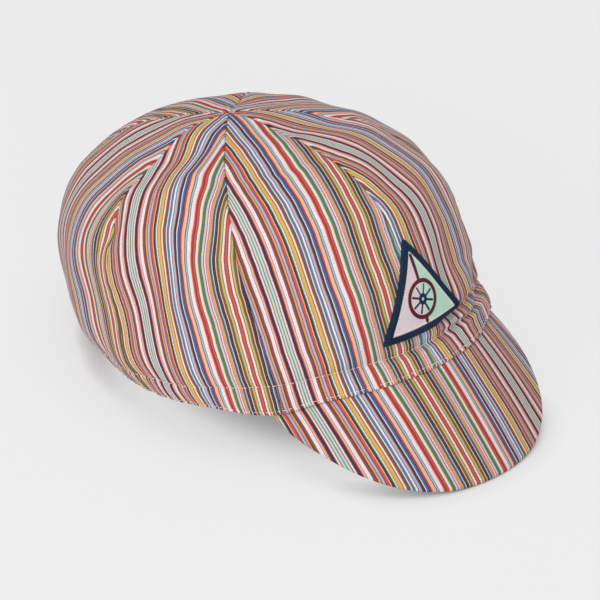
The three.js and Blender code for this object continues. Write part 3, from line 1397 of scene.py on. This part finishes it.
@dataclass
class Peak:
    """The short peak: cloth sewn round a stiff core, its stripes running front to back."""

    shape: PeakShape
    resting: Resting
    name: str = "peak"
    columns: int = 200
    edge_steps: tuple[float, ...] = (0.0, 0.08, 0.2, 0.38, 0.6, 0.85, 1.15, 1.6, 2.3, 3.2)
    rows: int = 44
    stripe_start: float = 12.0
    ripple: float = 0.00012
    ripple_lengths: tuple[float, float] = (0.031, 0.047)
    turning: float = 0.007
    cut_share: float = 0.62

    def _net(self) -> tuple[Array, Array]:
        """Spaces the peak's points, close together at its corners and its edge.

        Returns:
            The places across and outward, by row from the root to the edge.
        """
        spread = np.linspace(-1, 1, self.columns)
        across = -np.sin(spread * math.pi / 2) * (1 - STEP / 2)
        steps = np.array(self.edge_steps[::-1]) * MM
        outward = []
        for length in self.shape.reach(across):
            edge = 1 - steps * min(1.0, length / (2 * steps[0])) / length
            outward.append(np.concatenate([np.linspace(0, edge[0], self.rows)[:-1], edge]))
        outward = np.array(outward).T
        return np.broadcast_to(across, outward.shape), outward

    def _flat(self, across: Array, outward: Array) -> tuple[Array, Array]:
        """Lays the peak's cloth out flat, as it was cut.

        Args:
            across: from -1 to 1, the same for every row.
            outward: from 0 at the root to 1 at the edge.
        Returns:
            The distances across and along the flat cloth.
        """
        line = across[0]
        root = self.shape.top(line, np.zeros_like(line))
        rule = unit(self.shape.top(line, np.ones_like(line)) - root)
        place = np.zeros((len(line), 2))
        heading = np.zeros(len(line))
        for k in range(1, len(line)):
            step = root[k] - root[k - 1]
            size = np.linalg.norm(step)
            before = math.acos(np.clip(rule[k - 1] @ step / size, -1, 1))
            after = math.acos(np.clip(rule[k] @ step / size, -1, 1))
            toward = heading[k - 1] + before
            place[k] = place[k - 1] + size * np.array([math.sin(toward), math.cos(toward)])
            heading[k] = toward - after
        middle = len(line) // 2
        cosine, sine = math.cos(heading[middle]), math.sin(heading[middle])
        flat = (place - place[middle]) @ np.array([[cosine, sine], [-sine, cosine]])
        heading = heading - heading[middle]
        reach = self.shape.reach(across) * outward
        return flat[:, 0] + reach * np.sin(heading), flat[:, 1] + reach * np.cos(heading)

    def _skins(self, across: Array, outward: Array, ripple: Array) -> tuple[Array, Array]:
        """Works out the peak's two skins, which meet in a round edge.

        Args:
            across: from -1 at the left corner to 1 at the right.
            outward: from 0 at the root to 1 at the edge.
            ripple: how far the cloth lies over its plain shape.
        Returns:
            The points of the upper and of the lower skin, at rest.
        """
        shape = self.shape
        top = shape.top(across, outward)
        normal = shape.normal(across, outward)
        half = shape.thickness / 2
        outline_at = np.linspace(-1, 1, 4 * self.columns)
        outline = shape.top(outline_at, np.ones_like(outline_at))
        gap = np.array([np.linalg.norm(row[:, None] - outline[None], axis=2).min(1) for row in top])
        edge = half - np.sqrt(half**2 - (half - np.minimum(gap, half)) ** 2)
        upper = self.resting.place(top + normal * (ripple - edge)[..., None])
        lower = self.resting.place(top + normal * (ripple - shape.thickness + edge)[..., None])
        return upper, lower

    def build(self, finish: bpy.types.Material) -> bpy.types.Object:
        """Builds and dresses the peak.

        Args:
            finish: its material.
        Returns:
            The peak.
        """
        across, outward = self._net()
        x, y = self._flat(across, outward)
        wide, deep = self.ripple_lengths
        ripple = self.ripple * np.sin(TURN * x / wide + 1.0) * np.sin(TURN * y / deep)
        skins = self._skins(across, outward, ripple)
        peak = make_sheet(self.name, skins, x + self.stripe_start * MM, y, 0.0, finish)
        hand_over(peak, self.name)
        width, length = (float(np.ptp(side)) + 2 * self.turning for side in (x, y))
        self.cut_share * width * length
        return peak


@dataclass
class Badge:
    """A three-cornered badge on the front seam: satin fields, an overlocked border and a wheel."""

    cloth: CrownCloth
    width: float = 0.048
    height: float = 0.039
    lean: float = 0.0037
    base: float = 0.0208
    gap: float = 0.0003
    thickness: float = 0.0014
    cloth_share: float = 0.7
    field_margin: float = 0.35
    swell: float = 0.0002
    divisions: int = 60
    border_width: float = 0.0031
    border_height: float = 0.0007
    corner_radius: float = 0.0007
    inner_radius: float = 0.0002
    merrow_pitch: float = 0.0011
    merrow_slant: float = -0.5
    satin_pitch: float = 0.0004
    satin_slant: float = 0.2
    sunk: float = 0.00005
    ring_radius: float = 0.0074
    ring_width: float = 0.0019
    ring_rise: float = 0.0005
    ring_place: float = 0.345
    mast_rise: float = 0.00045
    mast_margin: float = 1.1
    keel_margin: float = 0.9
    hub_radius: float = 0.0015
    hub_points: int = 70
    spokes: int = 8
    spoke_width: float = 0.0012
    spoke_rise: float = 0.00035
    line_margin: float = 0.00035
    line_radius: float = 0.0005
    line_width: float = 0.00065
    line_rise: float = 0.0003
    line_step: float = 0.00012
    line_tip: float = 0.02
    circle_points: int = 420
    corner_points: int = 12
    edge_points: int = 330
    ridge_sides: int = 14
    ridge_fullness: float = 0.7
    side_beat: float = 0.07
    top_beat: float = 0.34
    foot_level: float = -0.1

    @property
    def top(self) -> float:
        """Height of the badge's cloth above the crown's."""
        return self.gap + self.thickness * self.cloth_share

    @property
    def centre(self) -> Array:
        """The middle of the wheel: distance across and height above the rim's plane."""
        return np.array([self.lean, self.base + self.height * self.ring_place])

    def inset(self, margin: float) -> Array:
        """Draws the badge's triangle smaller.

        Args:
            margin: how far inside the badge's outline it lies.
        Returns:
            Its corners: the two at the base and the one at the top.
        """
        half = self.width / 2
        top = self.base + self.height
        corners = np.array([
            [self.lean - half, self.base], [self.lean + half, self.base], [self.lean, top],
        ])
        moved = []
        for k, here in enumerate(corners):
            back, forth = unit(corners[k - 1] - here), unit(corners[(k + 1) % 3] - here)
            half = math.acos(np.clip(back @ forth, -1, 1)) / 2
            moved.append(here + unit(back + forth) * margin / math.sin(half))
        return np.array(moved)

    def rounded(self, margin: float, radius: float) -> Array:
        """Draws a closed outline inside the badge's, with round corners.

        Args:
            margin: how far inside the badge's outline it lies.
            radius: of its corners.
        Returns:
            Its points, as many for every margin.
        """
        corners = self.inset(margin + radius)
        path = []
        for k, here in enumerate(corners):
            side = corners[(k + 1) % 3] - here
            leaving, coming = unit(side), unit(here - corners[k - 1])
            turn = math.acos(np.clip(coming @ leaving, -1, 1))
            first = math.atan2(-coming[0], coming[1])
            parts = np.linspace(0, 1, self.corner_points, endpoint=False)
            path.append(here + radius * circle(first + turn * parts))
            out = np.array([leaving[1], -leaving[0]]) * radius
            parts = np.linspace(0, 1, self.edge_points, endpoint=False)
            path.append(here + out + side * parts[:, None])
        return np.concatenate(path)

    def raise_on(self, flat: Array, lift: Array) -> Array:
        """Lays points of the badge's flat drawing on the crown at rest.

        Args:
            flat: distances across and heights.
            lift: heights above the cloth.
        Returns:
            The points.
        """
        shape = flat.shape[:-1]
        angle, share = self.cloth.shape.front_at(flat[..., 0].ravel(), flat[..., 1].ravel())
        return self.cloth.laid_on(angle, share, lift.ravel()).reshape(*shape, 3)

    def _field(self, finish: bpy.types.Material) -> bpy.types.Object:
        """Builds the badge's cloth: a thin sheet inside the border.

        Args:
            finish: its material.
        Returns:
            The cloth.
        """
        corners = self.inset(self.border_width * self.field_margin)
        part = np.linspace(0, 1, self.divisions + 1)
        up, beside = np.meshgrid(part, part, indexing="ij")
        climbed = up[..., None] * (1 - STEP)
        left, right = (corner + (corners[2] - corner) * climbed for corner in corners[:2])
        flat = right + (left - right) * beside[..., None]
        swell = self.swell * np.sin(math.pi * up) * np.sin(math.pi * beside)
        outer = self.raise_on(flat, self.top + swell)
        inner = self.raise_on(flat, np.full(up.shape, self.gap))
        across = flat[..., 0] - self.lean
        return make_sheet("badge_field", (outer, inner), across, flat[..., 1], 0.0, finish)

    def _ridge(self, left: Array, right: Array, closed: bool, foot: float, rise: float,
               pitch: float, slant: float, ends: Array) -> Line:
        """Builds a raised band of close stitches between two lines.

        Args:
            left: one side of the band in the flat drawing.
            right: the other side, point for point.
            closed: whether the band's end meets its start.
            foot: the height of its foot above the cloth.
            rise: its height over its foot.
            pitch: from stitch to stitch.
            slant: how far a stitch leans along the band for each length across it.
            ends: the share of its height that the band has at each point.
        Returns:
            The points, the faces, and the numbers across and along.
        """
        middle, half = (left + right) / 2, (right - left) / 2
        run = lengths_along(middle)[:, None]
        wide, high = circle(np.linspace(0, TURN, self.ridge_sides, endpoint=False)).T
        offset = wide[None] * np.linalg.norm(half, axis=1)[:, None]
        beat = np.abs(np.sin(math.pi * (run + slant * offset) / pitch))
        reach = wide * (1 - self.side_beat + self.side_beat * beat)
        flat = middle[:, None] + half[:, None] * reach[..., None]
        bulge = np.maximum(high, 0) ** self.ridge_fullness
        lift = foot + rise * bulge * (1 - self.top_beat + self.top_beat * beat) * ends[:, None]
        lift = lift - self.gap * (high < self.foot_level)
        faces = tube_faces(len(middle), self.ridge_sides, closed)[:, ::-1]
        along = np.broadcast_to(run, beat.shape)
        points = self.raise_on(flat, lift).reshape(-1, 3)
        return points, faces, offset.ravel() / MM, along.ravel() / MM

    def _satin(self, path: Array, closed: bool, width: float, rise: float) -> Line:
        """Builds a raised line of close stitches along a path on the badge's cloth.

        Args:
            path: the flat drawing's points.
            closed: whether the path's end meets its start.
            width: of the line.
            rise: its height over the cloth.
        Returns:
            The points, the faces, and the numbers across and along.
        """
        tangent = np.roll(path, -1, 0) - np.roll(path, 1, 0)
        ends = np.ones(len(path))
        if not closed:
            tangent[0] = path[1] - path[0]
            tangent[-1] = path[-1] - path[-2]
            run = lengths_along(path)
            reach = np.minimum(run, run[-1] - run)
            ends = np.sqrt(np.clip(reach / (width / 2), self.line_tip, 1))
        tangent = unit(tangent)
        beside = np.stack([-tangent[:, 1], tangent[:, 0]], -1) * width / 2 * ends[:, None]
        return self._ridge(path + beside, path - beside, closed, self.top - self.sunk, rise,
                           self.satin_pitch, self.satin_slant, ends)

    def _bar(self, start: Array, end: Array, width: float, rise: float) -> Line:
        """Builds a straight raised line of close stitches.

        Args:
            start: its start in the flat drawing.
            end: its end.
            width: of the line.
            rise: its height over the cloth.
        Returns:
            The points, the faces, and the numbers across and along.
        """
        count = int(np.linalg.norm(end - start) / self.line_step) + 2
        path = start + (end - start) * np.linspace(0, 1, count)[:, None]
        return self._satin(path, False, width, rise)

    def _circle(self, radius: float, points: int) -> Line:
        """Builds a round line of close stitches at a radius from the wheel's middle."""
        path = self.centre + radius * circle(np.linspace(0, TURN, points, endpoint=False))
        return self._satin(path, True, self.ring_width, self.ring_rise)

    def _border(self, finish: bpy.types.Material) -> bpy.types.Object:
        """Builds the overlocked border.

        Args:
            finish: its material.
        Returns:
            The border.
        """
        outer = self.rounded(0.0, self.corner_radius)
        inner = self.rounded(self.border_width, self.inner_radius)
        height = self.top + self.border_height
        ridge = self._ridge(inner, outer, True, self.gap, height, self.merrow_pitch,
                            self.merrow_slant, np.ones(len(outer)))
        return make_joined("badge_border", [ridge], finish)

    def _wheel(self, finish: bpy.types.Material) -> bpy.types.Object:
        """Builds the wheel's rim and the line that runs up the badge's middle.

        Args:
            finish: its material.
        Returns:
            The wheel.
        """
        below = np.array([0, self.ring_radius])
        head = self.inset(self.border_width * self.mast_margin)[2]
        toe = np.array([self.lean, self.base + self.border_width * self.keel_margin])
        rim = self._circle(self.ring_radius, self.circle_points)
        mast = self._bar(head, self.centre + below, self.ring_width, self.mast_rise)
        keel = self._bar(self.centre - below, toe, self.ring_width, self.mast_rise)
        return make_joined("badge_wheel", [rim, mast, keel], finish)

    def _spokes(self, finish: bpy.types.Material) -> bpy.types.Object:
        """Builds the wheel's spokes and its hub.

        Args:
            finish: their material.
        Returns:
            The spokes and the hub, as one piece.
        """
        reach = self.ring_radius - self.ring_width / 2
        parts = []
        for way in circle(TURN * (np.arange(self.spokes) + 0.5) / self.spokes):
            start, end = self.centre + way * self.hub_radius, self.centre + way * reach
            parts.append(self._bar(start, end, self.spoke_width, self.spoke_rise))
        parts.append(self._circle(self.hub_radius, self.hub_points))
        return make_joined("badge_spokes", parts, finish)

    def _inner_line(self, finish: bpy.types.Material) -> bpy.types.Object:
        """Builds the fine line inside the border.

        Args:
            finish: its material.
        Returns:
            The line.
        """
        path = self.rounded(self.border_width + self.line_margin, self.line_radius)
        line = self._satin(path, True, self.line_width, self.line_rise)
        return make_joined("badge_inner_line", [line], finish)

    def build(self, satin: bpy.types.Material, navy: bpy.types.Material,
              maroon: bpy.types.Material, pale: bpy.types.Material) -> list[bpy.types.Object]:
        """Builds and dresses the badge.

        Args:
            satin: the finish of its cloth.
            navy: of its border and spokes.
            maroon: of its wheel's rim and its middle line.
            pale: of the fine line inside the border.
        Returns:
            Its pieces, the cloth first.
        """
        base = hand_over(self._field(satin), "badge")
        stitched = [self._border(navy), self._wheel(maroon), self._spokes(navy),
                    self._inner_line(pale)]
        for piece in stitched:
            hand_over(piece)
        0.5 * self.width * self.height
        return [base, *stitched]


@dataclass
class HemStitching:
    """Two rows of small stitches round the hem."""

    cloth: CrownCloth
    name: str = "hem_stitching"
    thread: float = 0.0003
    thin: float = 0.55
    bow_power: float = 0.7
    share_shown: float = 0.86
    lower_shift: float = 0.3
    waver: float = 0.00006
    rate_reach: float = 0.002
    angles: int = 721
    rings: int = 9
    sides: int = 6
    rise: float = 0.00018
    bite: float = 0.00042
    seed: int = 5

    def _row(self, distance: float, shift: float) -> Line:
        """Builds one row of stitches.

        Args:
            distance: the row's height of cloth above the rim's edge.
            shift: where its first stitch starts, as a share of the pitch.
        Returns:
            The points, the faces, and the numbers across and along.
        """
        cloth, hem = self.cloth, self.cloth.hem
        angles = np.linspace(0, TURN, self.angles)
        shares = cloth.shape.ring(distance, angles)
        run = lengths_along(cloth.shape.point(angles, shares))
        count = int(run[-1] / hem.pitch)
        chance = np.random.RandomState(self.seed)
        waver = chance.normal(size=count + 1) * self.waver
        part = np.linspace(0, 1, self.rings)
        at = (np.arange(count)[:, None] + shift + part * self.share_shown) * run[-1] / count
        at = at % run[-1]
        off = waver[:-1, None] + np.diff(waver)[:, None] * part
        angle = np.interp(at, run, angles)
        share = np.interp(angle, angles, shares) + off * self._share_rate(distance)
        bow = np.sin(math.pi * part) ** self.bow_power
        pull = hem.pull(angle, np.full_like(angle, distance), at)
        lift = pull + (self.rise + self.bite) * bow - self.bite
        centre = cloth.laid_on(angle, share, lift)
        beside = unit(cloth.laid_on(angle, share + STEP, lift) - centre)
        out = unit(cloth.laid_on(angle, share, lift + MM) - centre)
        turn = np.linspace(0, TURN, self.sides, endpoint=False)
        radius = self.thread / 2 * (self.thin + (1 - self.thin) * bow)[:, None, None]
        ring = (np.cos(turn)[:, None] * beside[..., None, :]
                + np.sin(turn)[:, None] * out[..., None, :])
        points = (centre[..., None, :] + radius * ring).reshape(-1, 3)
        one = tube_faces(self.rings, self.sides, False)[:, ::-1]
        step = self.rings * self.sides
        faces = (one[None] + step * np.arange(count)[:, None, None]).reshape(-1, 4)
        along = np.broadcast_to(at[..., None] / MM, (*at.shape, self.sides))
        around = np.broadcast_to(turn * self.thread / 2 / MM, along.shape)
        return points, faces, around.ravel(), along.ravel()

    def _share_rate(self, distance: float) -> float:
        """Measures the crown's climb near the hem.

        Args:
            distance: a length of cloth above the rim's edge.
        Returns:
            The share of the climb that one metre of cloth is.
        """
        ring = self.cloth.shape.ring
        climbed = ring(distance + self.rate_reach, np.zeros(1)) - ring(distance, np.zeros(1))
        return float(climbed[0]) / self.rate_reach

    def build(self, finish: bpy.types.Material) -> bpy.types.Object:
        """Builds and dresses both rows as one piece.

        Args:
            finish: its material.
        Returns:
            The stitches.
        """
        hem = self.cloth.hem
        rows = [self._row(hem.lower_row, self.lower_shift), self._row(hem.upper_row, 0.0)]
        return hand_over(make_joined(self.name, rows, finish))


@dataclass(frozen=True)
class Lamp:
    """A square soft light that faces the cap: its place, its side and its power in watts."""

    name: str
    place: tuple[float, float, float]
    side: float
    power: float

    def build(self) -> None:
        """Makes the light."""
        data = bpy.data.lights.new(self.name, "AREA")
        data.size = self.side
        data.energy = self.power
        lamp = bpy.data.objects.new(self.name, data)
        lamp.location = self.place
        lamp.rotation_euler = (-Vector(self.place)).to_track_quat("-Z", "Y").to_euler()
        bpy.context.scene.collection.objects.link(lamp)


LAMPS = (
    Lamp("overhead_light", (0.0, 0.0, 2.6), 2.0, 30.0),
    Lamp("side_light", (-2.17, -0.09, 1.0), 1.6, 14.5),
    Lamp("front_light", (-1.7, -1.85, 0.67), 1.6, 24.5),
)


@dataclass
class Studio:
    """The plain floor, the soft lights and the camera at the photograph's angle."""

    azimuth: float = -42.5
    elevation: float = 30.32
    distance: float = 1.545
    pivot: tuple[float, float, float] = (0.0, 0.0, 0.05)
    aim: tuple[float, float, float] = (-0.0057, -0.0058, 0.0361)
    lens: float = 214.4
    floor_half: float = 6.0
    floor_tone: float = 0.27
    floor_mottle: float = 0.02
    floor_scale: float = 3.0
    floor_glow: float = 0.628
    # Painted contact shade: how far from the cap the floor's glow darkens.
    painted_contact_reach: float = 0.012
    # Painted shadow under the cap: an oval on the floor where its glow is darker.
    painted_shadow_half: tuple[float, float] = (0.069, 0.089)
    painted_shadow_middle: float = -0.005
    painted_shadow_fades: tuple[float, float] = (0.6, 1.02)
    painted_shadow_deepest: float = 0.4
    world_light: float = 0.4

    def camera(self) -> None:
        """Makes the camera and gives it to the scene."""
        turn, lift = math.radians(self.azimuth), math.radians(self.elevation)
        back = Vector((math.sin(turn) * math.cos(lift), -math.cos(turn) * math.cos(lift),
                       math.sin(lift)))
        data = bpy.data.cameras.new("camera")
        data.lens = self.lens
        data.clip_end = 20
        camera = bpy.data.objects.new("camera", data)
        camera.location = Vector(self.pivot) + back * self.distance
        look = Vector(self.aim) - camera.location
        camera.rotation_euler = look.to_track_quat("-Z", "Y").to_euler()
        bpy.context.scene.collection.objects.link(camera)
        bpy.context.scene.camera = camera

    def _painted_shadow(self, shader: Shader, place: Wire) -> Wire:
        """Wires up the painted shadow under the cap: the floor's glow is darker inside an oval
        round it.

        Args:
            shader: the floor's material.
            place: the place on the floor.
        Returns:
            The share of its glow that the floor has.
        """
        wide, deep = self.painted_shadow_half
        low, high = self.painted_shadow_fades
        x = shader.node("SeparateXYZ", {}, {0: place}, 0) / wide
        y = (shader.node("SeparateXYZ", {}, {0: place}, 1) - self.painted_shadow_middle) / deep
        out = shader.maths("POWER", x * x + y * y, 0.5)
        return shader.node("MapRange", {"interpolation_type": "SMOOTHSTEP"},
                           {0: out, 1: low, 2: high, 3: self.painted_shadow_deepest, 4: 1.0})

    def floor(self) -> None:
        """Makes the pale floor, which glows a little, as a light table does, darkened by painted
        shade near the cap.
        """
        shader = Shader("studio_floor", Roughness=0.9, Specular_IOR_Level=0.1,
                        Emission_Strength=self.floor_glow)
        # Painted contact shade: ambient occlusion darkens the floor's glow near the cap.
        painted_contact_shade = shader.node("AmbientOcclusion", {"samples": 8}, {"Distance": self.painted_contact_reach},
                              "AO")
        place = shader.node("TexCoord", {}, {}, "Object")
        # The floor's glow, darkened by painted contact shade and by the painted shadow under the
        # cap.
        glow = painted_contact_shade * self._painted_shadow(shader, place)
        shader.plug(shader.surface.inputs["Emission Color"], glow)
        grain = shader.node("TexNoise", {}, {"Vector": place, "Scale": self.floor_scale}) - 0.5
        light = (1.0 + grain * self.floor_mottle) * self.floor_tone
        colour = shader.shade(Tint.FLOOR.linear, light)
        shader.plug(shader.surface.inputs["Base Color"], colour)
        corners = [[-1, -1, 0], [1, -1, 0], [1, 1, 0], [-1, 1, 0]]
        points = np.array(corners) * self.floor_half
        make_mesh("floor", points, np.array([[0, 1, 2, 3]]), {}, shader.material)

    def build(self) -> None:
        """Makes the whole set."""
        self.camera()
        self.floor()
        for lamp in LAMPS:
            lamp.build()
        world = bpy.data.worlds.new("studio")
        world.use_nodes = True
        background = world.node_tree.nodes["Background"]
        background.inputs["Color"].default_value = (1.0, 1.0, 1.0, 1.0)
        background.inputs["Strength"].default_value = self.world_light
        bpy.context.scene.world = world
        bpy.context.scene.view_settings.view_transform = "Standard"


CUTS = (
    ("back_panel_left", 15.0, False), ("side_panel_left", 47.0, False),
    ("front_panel_left", 34.0, False), ("front_panel_right", 21.0, False),
    ("side_panel_right", 28.0, False), ("back_panel_right", 38.0, True),
)


@dataclass
class Cap:
    """The whole cap, with the panels' names and where on the stripe their middles fall."""

    pieces: list[bpy.types.Object] = field(default_factory=list)
    cuts: tuple[tuple[str, float, bool], ...] = CUTS

    def build(self) -> None:
        """Builds every piece of the cap, one after another."""
        shape = CrownShape()
        peak_shape = PeakShape(shape)
        cloth = CrownCloth(shape, Resting.of(shape, peak_shape))
        crown_cotton = StripedCotton("crown_cotton").make()
        # The peak's cotton is the crown's, painted darker as shade.
        painted_shade_peak_cotton = StripedCotton("painted_shade_peak_cotton", wander=0.1, painted_shade_tone=0.92).make()
        for (name, *cut), low, high in zip(self.cuts, SEAMS, SEAMS[1:]):
            self.pieces.append(CrownPanel(name, low, high, *cut).build(cloth, crown_cotton))
        self.pieces.append(Peak(peak_shape, cloth.resting).build(painted_shade_peak_cotton))
        navy = SewingThread("navy_thread", Tint.NAVY, beat=0.4).make()
        maroon = SewingThread("maroon_thread", Tint.MAROON).make()
        pale = SewingThread("pale_thread", Tint.IVORY).make()
        self.pieces.extend(Badge(cloth).build(BadgeSatin().make(), navy, maroon, pale))
        self.pieces.append(HemStitching(cloth).build(pale))


def main() -> None:
    """Builds the set and the cap, and notes how many pieces there are."""
    logging.basicConfig(level=logging.INFO, format="%(message)s")
    Studio().build()
    cap = Cap()
    cap.build()
    log.info("%d pieces", len(cap.pieces))


if __name__ == "__main__":
    main()
